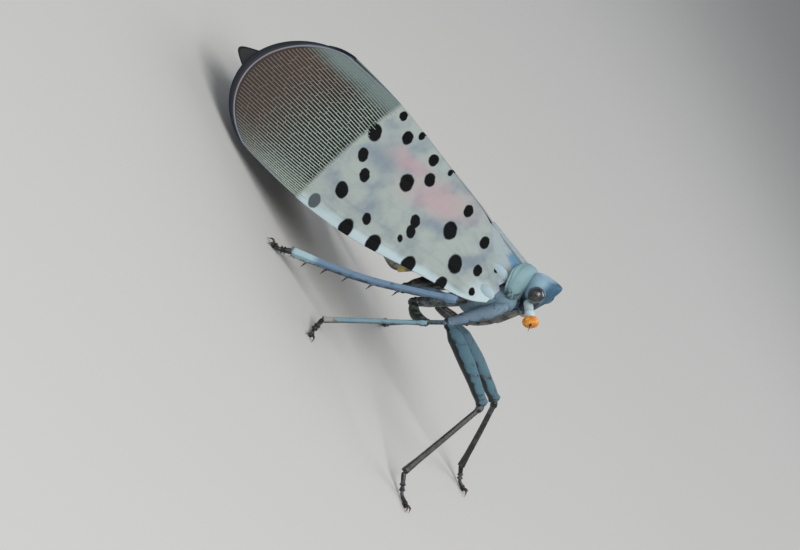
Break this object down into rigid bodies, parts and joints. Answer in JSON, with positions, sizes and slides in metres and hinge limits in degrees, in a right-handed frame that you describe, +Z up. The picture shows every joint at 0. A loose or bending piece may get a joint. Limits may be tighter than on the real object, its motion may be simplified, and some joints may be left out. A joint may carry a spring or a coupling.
{
  "type": "spotted lanternfly",
  "caption": "Life-size still model of a resting spotted lanternfly: pale spotted forewings folded like a roof, blunt head, orange antenna bulbs and dark-ended legs.",
  "frame": {"origin": "on the floor, under the middle of the whole insect's box", "axes": "+X towards the head, +Y to the insect's left, +Z up"},
  "size_m": [0.031, 0.0172, 0.0137],
  "materials": {
    "body": "matt with a waxy bloom",
    "abdomen": "satin",
    "forewing": "satin",
    "hindwing": "satin",
    "eye": "glossy",
    "antenna": "warty and matt",
    "leg": "satin with a waxy bloom",
    "foot": "satin"
  },
  "bodies": {
    "root": {"head": "body", "pronotum": "body", "mesonotum": "body", "thorax": "body", "abdomen": "abdomen", "rostrum": "foot", "eye_right": "eye", "antenna_right": "antenna", "forewing_right": "forewing", "hindwing_right": "hindwing", "eye_left": "eye", "antenna_left": "antenna", "forewing_left": "forewing", "hindwing_left": "hindwing", "front_right_coxa": "leg", "front_right_femur": "leg", "front_right_tibia": "leg", "front_right_tarsus": "foot", "front_left_coxa": "leg", "front_left_femur": "leg", "front_left_tibia": "leg", "front_left_tarsus": "foot", "middle_right_coxa": "leg", "middle_right_femur": "leg", "middle_right_tibia": "leg", "middle_right_tarsus": "foot", "middle_left_coxa": "leg", "middle_left_femur": "leg", "middle_left_tibia": "leg", "middle_left_tarsus": "foot", "hind_right_coxa": "leg", "hind_right_femur": "leg", "hind_right_tibia": "leg", "hind_right_tarsus": "foot", "hind_left_coxa": "leg", "hind_left_femur": "leg", "hind_left_tibia": "leg", "hind_left_tarsus": "foot"}
  },
  "joints": []
}
